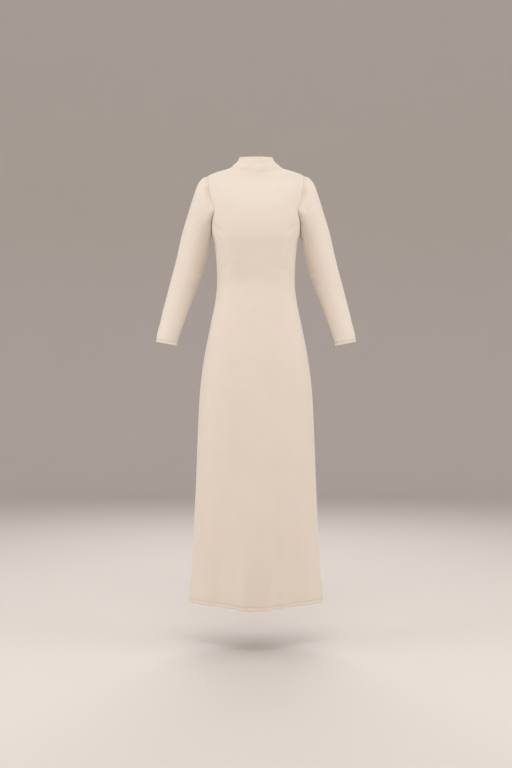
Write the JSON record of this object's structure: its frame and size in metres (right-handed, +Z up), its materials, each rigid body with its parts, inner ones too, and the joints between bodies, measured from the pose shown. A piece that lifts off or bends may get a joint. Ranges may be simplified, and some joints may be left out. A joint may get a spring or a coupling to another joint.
{
  "type": "inner dress",
  "caption": "Ankle-length plain jersey inner dress with a mock neck, long fitted sleeves and a slim flared skirt, filled out as worn.",
  "frame": {"origin": "middle of the neck, level with the inner ends of the shoulders, where the wearer holds the dress up", "axes": "+Z up towards the head, -Y out of the dress's front, +X towards the wearer's left arm"},
  "size_m": [0.645, 0.2744, 1.4624],
  "materials": {
    "jersey": "matte"
  },
  "bodies": {
    "root": {"front": "jersey", "back": "jersey", "sleeve_left": "jersey", "sleeve_right": "jersey", "collar": "jersey"}
  },
  "joints": []
}
